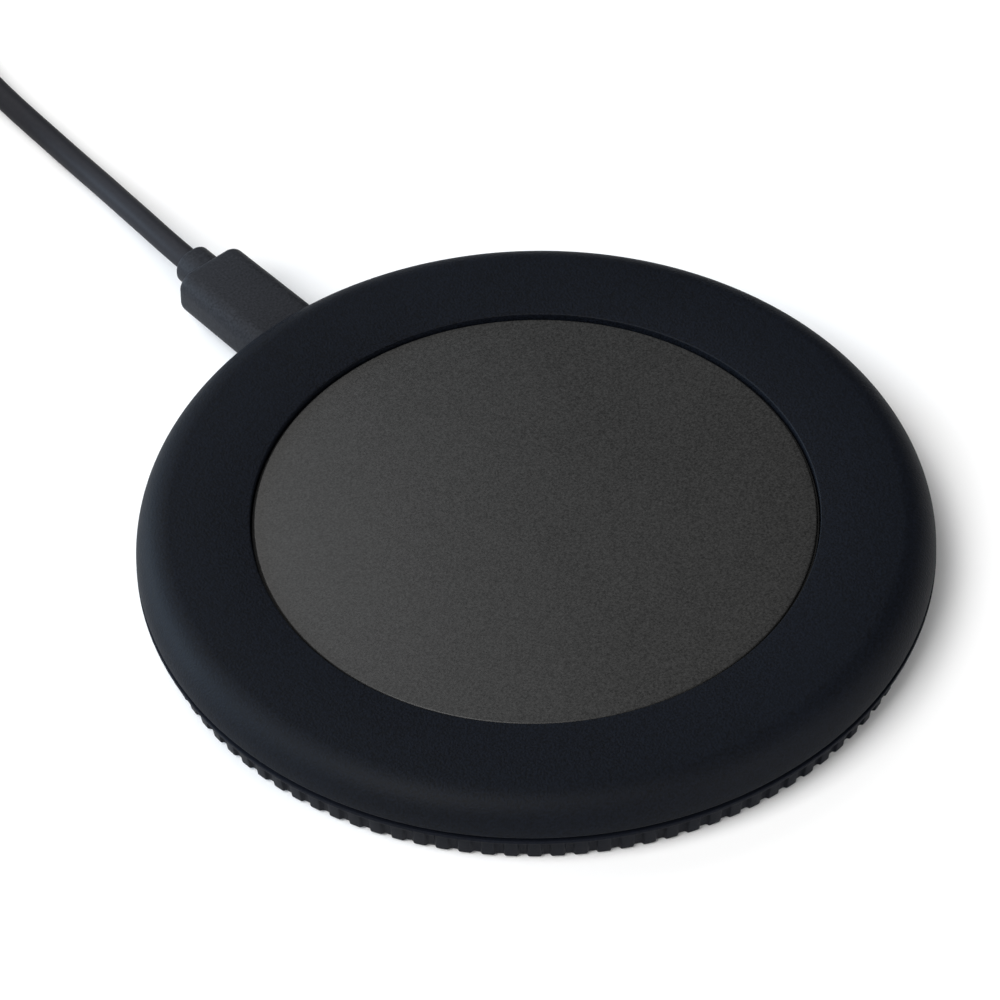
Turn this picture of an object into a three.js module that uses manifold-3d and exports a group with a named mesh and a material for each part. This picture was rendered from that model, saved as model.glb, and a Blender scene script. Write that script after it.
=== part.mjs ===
// Round wireless charging pad with a detachable USB cable. Millimetres, +Z up.
// The origin is the middle of the face that the pad stands on, and the port opens towards +Y.
import * as THREE from "three";
import { mergeVertices } from "three/addons/utils/BufferGeometryUtils.js";
import Module from "manifold-3d";

const wasm = await Module();
wasm.setup();

// ---- Driving dimensions ----
const PAD_RADIUS = 50;
const PAD_HEIGHT = 10;
const CROWN_WIDTH = 4.4; // the rounded shoulder of the skin, measured across
const CROWN_HEIGHT = 5; // and measured down
const SKIN_TOP = 1.65; // silicone thickness on the top
const SKIN_SIDE = 1.6; // silicone thickness on the side
const PLATE_RADIUS = 35.1;
const PLATE_THICK = 1.2;
const PLATE_SUNK = 0.5; // the plate lies this far below the skin's top
const PLATE_GAP = 0.45; // ring-shaped gap between plate and skin
const PLATE_EDGE = 0.25; // chamfer on the plate's rim
const LEDGE_WIDTH = 0.25; // the plate's ledge, seen in the gap
const LEDGE_SUNK = 0.45; // below the plate's top
const WALL = 1.1; // hard shell of the upper housing
const FIT = 0.3; // gap between fitted pieces
const SIDE_WALL = 1.3;

const FLOOR_BOTTOM = 0.4; // underside of the tray, which the foot ring lifts off the table
const FLOOR_TOP = 2;
const RIM_TOP = 4.5; // top of the tray's lip
const LIP_THICK = 0.5;
const LIP_RADIUS = 50;
const RIB_COUNT = 108;
const RIB_TOP_RADIUS = 49.3;
const RIB_FOOT_RADIUS = 48.7;
const RIB_RELIEF = 0.4;
const RIB_ROOT_SHARE = 0.34; // half a rib's width at its root, as a share of the pitch
const RIB_TIP_SHARE = 0.27;
const TONGUE_RADIUS = 46.4; // raised inner edge that locates the upper housing
const TONGUE_THICK = 1.2;
const TONGUE_TOP = 5.8;

const FOOT_INNER = 30;
const FOOT_OUTER = 42;
const FOOT_THICK = 0.8;

const SCREW_CIRCLE = 36;
const SCREW_HEAD_RADIUS = 1.9;
const SCREW_HEAD_THICK = 0.6;
const SCREW_SHANK_RADIUS = 0.9;
const SCREW_BOTTOM = 1.2;
const SCREW_TOP = 6.2;
const SCREW_SEAT = 2.1; // face that the screw head pulls against
const BOSS_RADIUS = 3.2;
const BOSS_TOP = 3.2;
const POST_RADIUS = 2.4;
const POST_BOTTOM = 3.5;

const BOARD_RADIUS = 43;
const BOARD_BOTTOM = 2.4;
const BOARD_THICK = 1;
const BOARD_FLAT = 41; // the board is cut straight here, behind the port wall

const COIL_OUTER = 22;
const COIL_INNER = 10.25;
const COIL_BOTTOM = 5.4;
const COIL_THICK = 1.3;
const FERRITE_RADIUS = 25;
const FERRITE_BOTTOM = 4.5;
const FERRITE_THICK = 0.8;
const CARRIER_BOTTOM = 3.6;
const CARRIER_FLOOR = 0.65;
const CARRIER_WALL = 1.1;
const CARRIER_TOP = 5.2;
const LEAD_RADIUS = 0.4;
const SLOT_WIDTH = 1.6;

const PORT_Z = 5.2; // height of the socket's and the plug's axis
const PORT_FACE = 45.8; // end wall of the port's pocket
const PORT_WALL_THICK = 1.2;
const PORT_WALL_HALF = 6.6;
const PORT_WALL_TOP = 6.2;
const PLUG_WIDTH = 10.7;
const PLUG_BACK_WIDTH = 10.3;
const PLUG_THICK = 6.4;
const PLUG_CORNER = 2.3;
const PLUG_FRONT = 46.3;
const PLUG_BACK = 64.1;
const POCKET_GAP = 0.4; // room round the plug in the pocket
const SOCKET_WIDTH = 8.95;
const SOCKET_HEIGHT = 3.2;
const SOCKET_WALL = 0.28;
const SOCKET_BACK = 38.2;
const PLUG_SHELL_WIDTH = 8.25;
const PLUG_SHELL_HEIGHT = 2.4;
const PLUG_SHELL_WALL = 0.3;
const PLUG_SHELL_FRONT = 39.6;
const TONGUE_BLADE = [6.6, 0.7]; // width and height of the socket's contact blade
const BLADE_TIP = 44.6;
const COLLAR_WIDTH = 5.3;
const COLLAR_HEIGHT = 4.9;
const COLLAR_LENGTH = 3.1;

// The cord: 1 m in all. It runs from the collar to the table, then to a coil that lies beside the pad.
const CORD_DIAMETER = 3.2;
const CORD_SIDES = 8;
const LEAD_ROUTE = [
  [0, 67.8, 5.2],
  [0.12, 71, 5.13],
  [0.37, 74, 4.91],
  [0.78, 77.5, 4.51],
  [1.24, 81, 4],
  [1.8, 85, 3.36],
  [2.35, 89, 2.73],
  [2.82, 93, 2.18],
  [3.2, 97, 1.8],
  [3.5, 101.5, 1.65],
  [3.7, 106, 1.65],
  [3.95, 110.5, 1.68],
  [4.28, 115, 1.8],
  [4.68, 119.2, 2],
];
const COIL_HEADING = 6.5; // degrees from +Y towards +X at which the cord meets and leaves its coil
const COIL_TOUCH = [6.1, 132]; // where the cord touches the coil's outermost turn
const COIL_TURN_RADIUS = 18.1; // at mid-turns
const COIL_PITCH = 3.25;
const COIL_COLUMNS = 4;
const COIL_ROWS = 2;
const COIL_LIFT = 0.7; // the coil lies on its tie
const TAIL_START = 13; // along the heading from COIL_TOUCH
const TAIL_END = 24;
const TIE_ANGLE = 150;
const TIE_WIDTH = 5;
const TIE_THICK = 0.45;
const TIE_GAP = 0.4;
const FAR_PLUG_Z = 4.05;

// ---- Materials ----
const finish = (color, roughness, metalness = 0) =>
  new THREE.MeshStandardMaterial({ color, roughness, metalness });
const silicone = finish(0x15181d, 0.75);
const plateFinish = finish(0x45454a, 0.6);
const hardPlastic = finish(0x17181b, 0.6);
const footRubber = finish(0x101113, 0.9);
const steel = finish(0xb4b6ba, 0.35, 1);
const copper = finish(0xb4683a, 0.4, 1);
const ferrite = finish(0x37383b, 0.7);
const board = finish(0x14532f, 0.5);
const chip = finish(0x1c1c1e, 0.55);
const ceramic = finish(0xb39a76, 0.6);
const cordJacket = finish(0x26292e, 0.6);
const whitePlastic = finish(0xd8d8d6, 0.5);

// ---- Solids ----
function solidOf(geometry) {
  const bare = geometry.index ? geometry.toNonIndexed() : geometry.clone();
  bare.deleteAttribute("normal");
  bare.deleteAttribute("uv");
  const merged = mergeVertices(bare, 1e-4);
  return new wasm.Manifold(
    new wasm.Mesh({
      numProp: 3,
      vertProperties: merged.attributes.position.array,
      triVerts: new Uint32Array(merged.index.array),
    }),
  );
}

function geometryOf(solid) {
  const mesh = solid.getMesh();
  const geometry = new THREE.BufferGeometry();
  geometry.setAttribute("position", new THREE.BufferAttribute(mesh.vertProperties, 3));
  geometry.setIndex(new THREE.BufferAttribute(mesh.triVerts, 1));
  geometry.computeVertexNormals();
  return geometry;
}

function join(first, ...others) {
  return geometryOf(others.reduce((sum, other) => sum.add(solidOf(other)), solidOf(first)));
}

function cut(body, ...tools) {
  return geometryOf(tools.reduce((rest, tool) => rest.subtract(solidOf(tool)), solidOf(body)));
}

// ---- Shapes ----
// A turned solid from [radius, height] points, given anticlockwise with the axis on the left.
function turned(points, segments = 72) {
  const profile = points.map(([r, z]) => new THREE.Vector2(r, z));
  if (points[0][0] > 0) profile.push(profile[0].clone());
  return new THREE.LatheGeometry(profile, segments).rotateX(Math.PI / 2);
}

function ringOf(inner, outer, bottom, top, segments) {
  return turned([[inner, bottom], [outer, bottom], [outer, top], [inner, top]], segments);
}

function discOf(radius, bottom, top, segments) {
  return turned([[0, bottom], [radius, bottom], [radius, top], [0, top]], segments);
}

function boxOf(x0, x1, y0, y1, z0, z1) {
  const box = new THREE.BoxGeometry(x1 - x0, y1 - y0, z1 - z0);
  return box.translate((x0 + x1) / 2, (y0 + y1) / 2, (z0 + z1) / 2);
}

function postOf(radius, x, y, bottom, top, segments = 20) {
  const post = new THREE.CylinderGeometry(radius, radius, top - bottom, segments);
  return post.rotateX(Math.PI / 2).translate(x, y, (bottom + top) / 2);
}

// Points of a quarter ellipse from its top to its widest place, about [r, z].
function shoulder(r, z, width, height, steps) {
  return Array.from({ length: steps + 1 }, (_, i) => {
    const angle = (i / steps) * (Math.PI / 2);
    return [r + width * Math.sin(angle), z + height * Math.cos(angle)];
  });
}

function roundedOutline(width, height, radius) {
  const x = width / 2 - radius;
  const y = height / 2 - radius;
  const outline = new THREE.Shape();
  outline.absarc(x, y, radius, 0, Math.PI / 2);
  outline.absarc(-x, y, radius, Math.PI / 2, Math.PI);
  outline.absarc(-x, -y, radius, Math.PI, 1.5 * Math.PI);
  outline.absarc(x, -y, radius, 1.5 * Math.PI, 2 * Math.PI);
  outline.closePath();
  return outline;
}

// A bar of rounded-rectangle section along +Y, from y0 to y1, its axis at height z.
function barAlongY(width, height, radius, y0, y1, z, curveSegments = 4) {
  const outline = roundedOutline(width, height, radius);
  const bar = new THREE.ExtrudeGeometry(outline, { depth: y1 - y0, bevelEnabled: false, curveSegments });
  return bar.rotateX(Math.PI / 2).translate(0, y1, z);
}

// Narrows a bar evenly from its full width at y0 to the given share of it at y1.
function tapered(bar, y0, y1, share) {
  const place = bar.getAttribute("position");
  for (let i = 0; i < place.count; i++) {
    const along = (place.getY(i) - y0) / (y1 - y0);
    place.setX(i, place.getX(i) * (1 + (share - 1) * along));
  }
  return bar;
}

function tube(points, radius, sides, steps) {
  const section = new THREE.Shape();
  for (let i = 0; i < sides; i++) {
    const angle = (i / sides) * 2 * Math.PI;
    const corner = [radius * Math.cos(angle), radius * Math.sin(angle)];
    if (i === 0) section.moveTo(...corner);
    else section.lineTo(...corner);
  }
  section.closePath();
  const path = new THREE.CatmullRomCurve3(points.map((p) => new THREE.Vector3(...p)));
  return new THREE.ExtrudeGeometry(section, { steps, extrudePath: path, bevelEnabled: false });
}

// ---- The casing ----
const shoulderRadius = PAD_RADIUS - CROWN_WIDTH;
const seamZ = PAD_HEIGHT - CROWN_HEIGHT;
const skinUnder = PAD_HEIGHT - SKIN_TOP;
const deckTop = skinUnder - FIT;
const deckBottom = deckTop - WALL;

// The pocket that takes the plug's front, cut through skin and housings alike.
function portPocket() {
  const width = PLUG_WIDTH + 2 * POCKET_GAP;
  const height = PLUG_THICK + 2 * POCKET_GAP;
  return barAlongY(width, height, PLUG_CORNER + POCKET_GAP, PORT_FACE, PLUG_BACK, PORT_Z);
}

function topSkin() {
  const inner = PLATE_RADIUS + PLATE_GAP;
  const outside = shoulder(shoulderRadius, seamZ, CROWN_WIDTH, CROWN_HEIGHT, 7).reverse();
  const inside = shoulder(
    shoulderRadius,
    seamZ,
    CROWN_WIDTH - SKIN_SIDE,
    CROWN_HEIGHT - SKIN_TOP,
    4,
  );
  return cut(turned([[inner, skinUnder], ...inside, ...outside, [inner, PAD_HEIGHT]]), portPocket());
}

function centrePlate() {
  const top = PAD_HEIGHT - PLATE_SUNK;
  return turned([
    [0, top - PLATE_THICK],
    [PLATE_RADIUS + LEDGE_WIDTH, top - PLATE_THICK],
    [PLATE_RADIUS + LEDGE_WIDTH, top - LEDGE_SUNK],
    [PLATE_RADIUS, top - LEDGE_SUNK],
    [PLATE_RADIUS, top - PLATE_EDGE],
    [PLATE_RADIUS - PLATE_EDGE, top],
    [0, top],
  ]);
}

const screwPlaces = [45, 135, 225, 315].map((degrees) => {
  const angle = THREE.MathUtils.degToRad(degrees);
  return [SCREW_CIRCLE * Math.cos(angle), SCREW_CIRCLE * Math.sin(angle)];
});

function upperHousing() {
  const width = CROWN_WIDTH - SKIN_SIDE - FIT;
  const height = deckTop - seamZ;
  const outside = shoulder(shoulderRadius, seamZ, width, height, 4).reverse();
  const inside = shoulder(shoulderRadius, seamZ, width - SIDE_WALL, height - WALL, 4);
  const shell = turned([[0, deckBottom], ...inside, ...outside, [0, deckTop]]);
  const posts = screwPlaces.map(([x, y]) => postOf(POST_RADIUS, x, y, POST_BOTTOM, deckBottom + 0.2));
  const holes = screwPlaces.map(([x, y]) =>
    postOf(SCREW_SHANK_RADIUS + 0.2, x, y, POST_BOTTOM - 1, SCREW_TOP + FIT, 12),
  );
  return cut(join(shell, ...posts), portPocket(), ...holes);
}

// The ribbed rim as a full disc: square-cut ribs that lean in towards the foot.
function ribbedDisc() {
  const outline = new THREE.Shape();
  const step = (2 * Math.PI) / RIB_COUNT;
  const root = RIB_TOP_RADIUS - RIB_RELIEF;
  const section = [
    [-RIB_ROOT_SHARE, root],
    [-RIB_TIP_SHARE, RIB_TOP_RADIUS],
    [RIB_TIP_SHARE, RIB_TOP_RADIUS],
    [RIB_ROOT_SHARE, root],
  ];
  for (let rib = 0; rib < RIB_COUNT; rib++) {
    for (const [share, radius] of section) {
      const angle = (rib + 0.5 + share) * step; // a groove stands on each axis
      const corner = [radius * Math.cos(angle), radius * Math.sin(angle)];
      if (rib === 0 && share === -RIB_ROOT_SHARE) outline.moveTo(...corner);
      else outline.lineTo(...corner);
    }
  }
  outline.closePath();
  const depth = RIM_TOP - LIP_THICK - FLOOR_BOTTOM;
  const disc = new THREE.ExtrudeGeometry(outline, { depth, bevelEnabled: false });
  const place = disc.getAttribute("position");
  const lean = RIB_FOOT_RADIUS / RIB_TOP_RADIUS;
  for (let i = 0; i < place.count; i++) {
    if (place.getZ(i) > depth / 2) continue;
    place.setX(i, place.getX(i) * lean);
    place.setY(i, place.getY(i) * lean);
  }
  return disc.translate(0, 0, FLOOR_BOTTOM);
}

function lowerHousing() {
  const lipBottom = RIM_TOP - LIP_THICK;
  const room = TONGUE_RADIUS - TONGUE_THICK;
  const solid = join(
    ribbedDisc(),
    discOf(LIP_RADIUS, lipBottom, RIM_TOP),
    discOf(TONGUE_RADIUS, lipBottom, TONGUE_TOP),
  );
  const portWallFront = PORT_FACE - PORT_WALL_THICK;
  const tray = join(
    cut(solid, discOf(room, FLOOR_TOP, TONGUE_TOP + 1)),
    boxOf(-PORT_WALL_HALF, PORT_WALL_HALF, portWallFront, PORT_FACE, FLOOR_TOP - 0.2, PORT_WALL_TOP),
    ...screwPlaces.map(([x, y]) => postOf(BOSS_RADIUS, x, y, FLOOR_TOP - 0.2, BOSS_TOP)),
  );
  const socketHole = barAlongY(
    SOCKET_WIDTH + 0.4,
    SOCKET_HEIGHT + 0.4,
    (SOCKET_HEIGHT + 0.4) / 2 - 0.05,
    portWallFront - 1,
    PORT_FACE + 1,
    PORT_Z,
  );
  const footGroove = ringOf(FOOT_INNER - FIT, FOOT_OUTER + FIT, 0, FOOT_THICK + FIT);
  const screwHoles = screwPlaces.flatMap(([x, y]) => [
    postOf(SCREW_HEAD_RADIUS + FIT, x, y, 0, SCREW_SEAT),
    postOf(SCREW_SHANK_RADIUS + FIT, x, y, 0, BOSS_TOP + 1, 12),
  ]);
  return cut(tray, portPocket(), socketHole, footGroove, ...screwHoles);
}

function housingScrew([x, y]) {
  const headTop = SCREW_BOTTOM + SCREW_HEAD_THICK;
  const screw = turned(
    [
      [0, SCREW_BOTTOM],
      [SCREW_HEAD_RADIUS, SCREW_BOTTOM],
      [SCREW_HEAD_RADIUS, headTop],
      [SCREW_SHANK_RADIUS, headTop],
      [SCREW_SHANK_RADIUS, SCREW_TOP - 0.5],
      [0.3, SCREW_TOP],
      [0, SCREW_TOP],
    ],
    12,
  );
  return screw.translate(x, y, 0);
}

// ---- Inside ----
function circuitBoard() {
  const top = BOARD_BOTTOM + BOARD_THICK;
  const clearances = screwPlaces.map(([x, y]) => postOf(BOSS_RADIUS + FIT, x, y, 0, top + 1));
  const behindPort = boxOf(-PAD_RADIUS, PAD_RADIUS, BOARD_FLAT, PAD_RADIUS, 0, top + 1);
  return cut(discOf(BOARD_RADIUS, BOARD_BOTTOM, top, 48), behindPort, ...clearances);
}

function coilCarrier() {
  const outer = FERRITE_RADIUS + FIT + CARRIER_WALL;
  const body = discOf(outer, CARRIER_BOTTOM, CARRIER_TOP, 48);
  const bed = discOf(FERRITE_RADIUS + FIT, CARRIER_BOTTOM + CARRIER_FLOOR, CARRIER_TOP + 1, 48);
  return cut(body, bed, leadSlot(CARRIER_BOTTOM + CARRIER_FLOOR, FERRITE_RADIUS - 1));
}

// A radial slot towards -X, for the winding's leads.
function leadSlot(bottom, from) {
  return boxOf(-FERRITE_RADIUS - 5, -from, -SLOT_WIDTH / 2, SLOT_WIDTH / 2, bottom, bottom + 5);
}

function ferriteShield() {
  const sheet = discOf(FERRITE_RADIUS, FERRITE_BOTTOM, FERRITE_BOTTOM + FERRITE_THICK, 48);
  return cut(sheet, leadSlot(FERRITE_BOTTOM - 1, COIL_INNER - 3));
}

const boardTop = BOARD_BOTTOM + BOARD_THICK;
const leadLevel = FERRITE_BOTTOM + FERRITE_THICK / 2;
const innerLeadRoute = [
  [-COIL_INNER + 1.6, 0, COIL_BOTTOM + COIL_THICK / 2],
  [-COIL_INNER + 0.4, 0, leadLevel + 0.2],
  [-COIL_INNER - 2, 0, leadLevel],
  [-FERRITE_RADIUS, 0, leadLevel],
  [-FERRITE_RADIUS - 2, 0, leadLevel - 0.05],
  [-FERRITE_RADIUS - 4, 0, boardTop + LEAD_RADIUS + 0.1],
];
const outerLeadRoute = [
  [-COIL_OUTER - 0.75, -2.4, COIL_BOTTOM + COIL_THICK / 2 - 0.1],
  [-COIL_OUTER - 3, -2.8, COIL_BOTTOM + COIL_THICK / 2],
  [-COIL_OUTER - 5.2, -3, COIL_BOTTOM + 0.1],
  [-COIL_OUTER - 6.2, -3, leadLevel - 0.4],
  [-COIL_OUTER - 7.4, -3, boardTop + LEAD_RADIUS + 0.1],
];

function receptacleShell() {
  const outer = barAlongY(SOCKET_WIDTH, SOCKET_HEIGHT, SOCKET_HEIGHT / 2 - 0.05, SOCKET_BACK, PORT_FACE - 0.2, PORT_Z);
  const width = SOCKET_WIDTH - 2 * SOCKET_WALL;
  const height = SOCKET_HEIGHT - 2 * SOCKET_WALL;
  return cut(outer, barAlongY(width, height, height / 2 - 0.05, SOCKET_BACK - 1, PORT_FACE + 1, PORT_Z));
}

function receptacleInsulator() {
  const [bladeWidth, bladeHeight] = TONGUE_BLADE;
  const back = SOCKET_BACK + 0.2;
  return join(
    barAlongY(8, 2.3, 1, back, back + 0.8, PORT_Z, 3),
    barAlongY(bladeWidth, bladeHeight, 0.2, back + 0.4, BLADE_TIP, PORT_Z, 2),
  );
}

// ---- The cable's plug ----
function plugShell() {
  const back = PLUG_FRONT - FIT;
  const round = PLUG_SHELL_HEIGHT / 2 - 0.05;
  const outer = barAlongY(PLUG_SHELL_WIDTH, PLUG_SHELL_HEIGHT, round, PLUG_SHELL_FRONT, back, PORT_Z);
  const width = PLUG_SHELL_WIDTH - 2 * PLUG_SHELL_WALL;
  const height = PLUG_SHELL_HEIGHT - 2 * PLUG_SHELL_WALL;
  return cut(outer, barAlongY(width, height, height / 2 - 0.05, PLUG_SHELL_FRONT - 1, back + 1, PORT_Z));
}

function plugInsulator() {
  const front = PLUG_SHELL_FRONT + 0.8;
  const back = PLUG_FRONT - FIT;
  const [bladeWidth, bladeHeight] = TONGUE_BLADE;
  const block = barAlongY(7.4, 1.56, 0.6, front, back, PORT_Z);
  const slot = barAlongY(bladeWidth + 0.3, bladeHeight + 0.25, 0.2, front - 1, BLADE_TIP + FIT, PORT_Z, 2);
  return cut(block, slot);
}

function plugOvermold() {
  const bar = barAlongY(PLUG_WIDTH, PLUG_THICK, PLUG_CORNER, PLUG_FRONT, PLUG_BACK, PORT_Z, 6);
  return tapered(bar, PLUG_FRONT, PLUG_BACK, PLUG_BACK_WIDTH / PLUG_WIDTH);
}

function plugCollar() {
  const front = PLUG_BACK + FIT;
  return barAlongY(COLLAR_WIDTH, COLLAR_HEIGHT, 2.2, front, front + COLLAR_LENGTH, PORT_Z, 5);
}

// ---- The cord ----
const heading = THREE.MathUtils.degToRad(COIL_HEADING);
const ahead = [Math.sin(heading), Math.cos(heading)];
const outerTurn = COIL_TURN_RADIUS + ((COIL_COLUMNS - 1) / 2) * COIL_PITCH;
const coilCentre = [
  COIL_TOUCH[0] - outerTurn * ahead[1],
  COIL_TOUCH[1] + outerTurn * ahead[0],
];
const coilHalfWidth = ((COIL_COLUMNS - 1) * COIL_PITCH + CORD_DIAMETER) / 2 + 0.1;
const coilTop = COIL_LIFT + CORD_DIAMETER + (COIL_ROWS - 1) * CORD_DIAMETER + 0.1;
const topRowZ = COIL_LIFT + CORD_DIAMETER * (COIL_ROWS - 0.5);

function alongHeading(distance, z) {
  return [COIL_TOUCH[0] + distance * ahead[0], COIL_TOUCH[1] + distance * ahead[1], z];
}

const tailRoute = [
  alongHeading(TAIL_START, topRowZ - 0.5),
  alongHeading(TAIL_START + 3.5, topRowZ - 0.85),
  alongHeading(TAIL_END - 3.5, FAR_PLUG_Z + 0.08),
  alongHeading(TAIL_END, FAR_PLUG_Z),
];

function cordCoil() {
  const ring = ringOf(
    COIL_TURN_RADIUS - coilHalfWidth,
    COIL_TURN_RADIUS + coilHalfWidth,
    COIL_LIFT,
    coilTop,
    48,
  );
  return ring.translate(coilCentre[0], coilCentre[1], 0);
}

// A flat band round the coil's section, standing across the coil at TIE_ANGLE.
function cordTie() {
  const width = 2 * (coilHalfWidth + TIE_GAP + TIE_THICK);
  const height = coilTop + TIE_GAP + TIE_THICK;
  const middle = height / 2;
  const outer = barAlongY(width, height, 1.2, -TIE_WIDTH / 2, TIE_WIDTH / 2, middle, 3);
  const inside = [width - 2 * TIE_THICK, height - 2 * TIE_THICK];
  const inner = barAlongY(...inside, 0.8, -TIE_WIDTH, TIE_WIDTH, middle, 3);
  const band = cut(outer, inner);
  band.translate(COIL_TURN_RADIUS, 0, 0);
  band.rotateZ(THREE.MathUtils.degToRad(TIE_ANGLE));
  return band.translate(coilCentre[0], coilCentre[1], 0);
}

// ---- The far plug, built along +Y from its collar and then turned to the cord's heading ----
const FAR_COLLAR_LENGTH = 5;
const FAR_BODY = { width: 15.8, thick: 8, length: 21, corner: 2 };
const FAR_SHELL = { width: 12, height: 4.5, length: 12, wall: 0.4 };
const FAR_BLADE = { width: 10.6, height: 1.8 };

function farPlug() {
  const group = new THREE.Group();
  const bodyStart = FAR_COLLAR_LENGTH + FIT;
  const bodyEnd = bodyStart + FAR_BODY.length;
  const shellStart = bodyEnd + FIT;
  const shellEnd = shellStart + FAR_SHELL.length;
  const collar = tapered(barAlongY(5.8, 5.4, 2.5, 0, FAR_COLLAR_LENGTH, 0), FAR_COLLAR_LENGTH, 0, 0.8);
  const body = barAlongY(FAR_BODY.width, FAR_BODY.thick, FAR_BODY.corner, bodyStart, bodyEnd, 0);
  const shell = cut(
    barAlongY(FAR_SHELL.width, FAR_SHELL.height, 0.5, shellStart, shellEnd, 0, 3),
    barAlongY(
      FAR_SHELL.width - 2 * FAR_SHELL.wall,
      FAR_SHELL.height - 2 * FAR_SHELL.wall,
      0.2,
      shellStart - 1,
      shellEnd + 1,
      0,
      2,
    ),
  );
  const bladeZ = FAR_SHELL.height / 2 - FAR_SHELL.wall - 0.2 - FAR_BLADE.height / 2;
  const blade = barAlongY(FAR_BLADE.width, FAR_BLADE.height, 0.2, shellStart, shellEnd - 0.5, bladeZ, 2);
  group.add(
    named("far_plug_collar", collar, cordJacket),
    named("far_plug_overmold", body, cordJacket),
    named("far_plug_shell", shell, steel),
    named("far_plug_insulator", blade, whitePlastic),
  );
  const [x, y, z] = alongHeading(TAIL_END + FIT, FAR_PLUG_Z);
  group.position.set(x, y, z);
  group.rotation.z = -heading;
  return group;
}

// ---- Assembly ----
function named(name, geometry, material) {
  const mesh = new THREE.Mesh(geometry, material.clone());
  mesh.name = name;
  return mesh;
}

function onBoard(name, material, x, y, width, depth, height) {
  const bottom = boardTop + 0.1;
  const geometry = boxOf(-width / 2, width / 2, -depth / 2, depth / 2, 0, height);
  const mesh = named(name, geometry, material);
  mesh.position.set(x, y, bottom);
  return mesh;
}

const pad = new THREE.Group();
pad.add(
  named("top_skin", topSkin(), silicone),
  named("centre_plate", centrePlate(), plateFinish),
  named("upper_housing", upperHousing(), hardPlastic),
  named("lower_housing", lowerHousing(), hardPlastic),
  named("foot_ring", ringOf(FOOT_INNER, FOOT_OUTER, 0, FOOT_THICK, 48), footRubber),
  ...screwPlaces.map((place, i) => named(`housing_screw_${i + 1}`, housingScrew(place), steel)),
  named("transmit_coil", ringOf(COIL_INNER, COIL_OUTER, COIL_BOTTOM, COIL_BOTTOM + COIL_THICK, 48), copper),
  named("coil_lead_inner", tube(innerLeadRoute, LEAD_RADIUS, 6, 14), copper),
  named("coil_lead_outer", tube(outerLeadRoute, LEAD_RADIUS, 6, 10), copper),
  named("ferrite_shield", ferriteShield(), ferrite),
  named("coil_carrier", coilCarrier(), whitePlastic),
  named("thermistor", discOf(1.2, COIL_BOTTOM + 0.1, COIL_BOTTOM + 1.2, 16).translate(2, 0, 0), chip),
  named("circuit_board", circuitBoard(), board),
  named("receptacle_shell", receptacleShell(), steel),
  named("receptacle_insulator", receptacleInsulator(), chip),
  onBoard("controller_chip", chip, 0, 32, 5, 5, 0.9),
  onBoard("bridge_chip_1", chip, -9, 32, 3.3, 3.3, 0.9),
  onBoard("bridge_chip_2", chip, -14, 31, 3.3, 3.3, 0.9),
  onBoard("power_inductor", chip, 12, 33, 6, 6, 2.8),
  onBoard("input_capacitor", ceramic, 18, 30, 1.6, 3.2, 1.6),
  ...[0, 1, 2, 3].map((i) =>
    onBoard(`resonant_capacitor_${i + 1}`, ceramic, -35, 5 + 3.2 * i, 3.2, 2.5, 2),
  ),
);

const cable = new THREE.Group();
cable.add(
  named("plug_shell", plugShell(), steel),
  named("plug_insulator", plugInsulator(), chip),
  named("plug_overmold", plugOvermold(), cordJacket),
  named("plug_collar", plugCollar(), cordJacket),
  named("cord_lead", tube(LEAD_ROUTE, CORD_DIAMETER / 2, CORD_SIDES, 18), cordJacket),
  named("cord_coil", cordCoil(), cordJacket),
  named("cord_tie", cordTie(), hardPlastic),
  named("cord_tail", tube(tailRoute, CORD_DIAMETER / 2, CORD_SIDES, 4), cordJacket),
  farPlug(),
);

const chargingPad = new THREE.Group();
chargingPad.add(pad, cable);

export default chargingPad;
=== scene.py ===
# %% [markdown]
# # A round wireless charging pad
# The real object is a low disc that a phone lies on. A soft silicone ring surrounds a sunk plastic plate,
# a ribbed hard base closes it from below, and a thin USB cable plugs into its back edge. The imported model
# already holds every piece at its true size, so this lesson only gives the pieces their fine shapes and
# finishes. All lengths in the lists below are millimetres, and MM turns them into Blender's metres.

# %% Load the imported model
from math import cos, pi, radians, sin

import bmesh
import bpy
from mathutils import Matrix, Vector


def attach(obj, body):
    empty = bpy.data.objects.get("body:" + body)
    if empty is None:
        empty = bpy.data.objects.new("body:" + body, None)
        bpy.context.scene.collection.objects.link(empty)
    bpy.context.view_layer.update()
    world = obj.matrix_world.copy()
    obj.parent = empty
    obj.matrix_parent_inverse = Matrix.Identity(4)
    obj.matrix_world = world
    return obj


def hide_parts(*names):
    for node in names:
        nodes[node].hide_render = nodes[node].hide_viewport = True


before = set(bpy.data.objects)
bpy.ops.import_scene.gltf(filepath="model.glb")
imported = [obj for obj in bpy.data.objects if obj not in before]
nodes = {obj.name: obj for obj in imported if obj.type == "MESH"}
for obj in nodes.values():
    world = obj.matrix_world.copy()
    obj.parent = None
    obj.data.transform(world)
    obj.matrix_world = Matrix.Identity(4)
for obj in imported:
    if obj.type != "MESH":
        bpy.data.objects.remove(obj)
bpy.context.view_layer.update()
MM = 0.001

# %% [markdown]
# # The camera
# A long lens from about a metre away shows the disc almost without perspective, so it stays an even oval.
# The camera is built in axes that lie square to it and then turned about the vertical, so that its rise,
# its roll and its turn stay separate numbers. The port ends up at the back left.

# %% Place the camera
VIEW_TURN = radians(-40.23)
VIEW_RISE = radians(45.67)
VIEW_ROLL = radians(-1.415)
VIEW_DISTANCE = 1012.2
AIM = Vector((-4.355, 12.285, 0))

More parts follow.
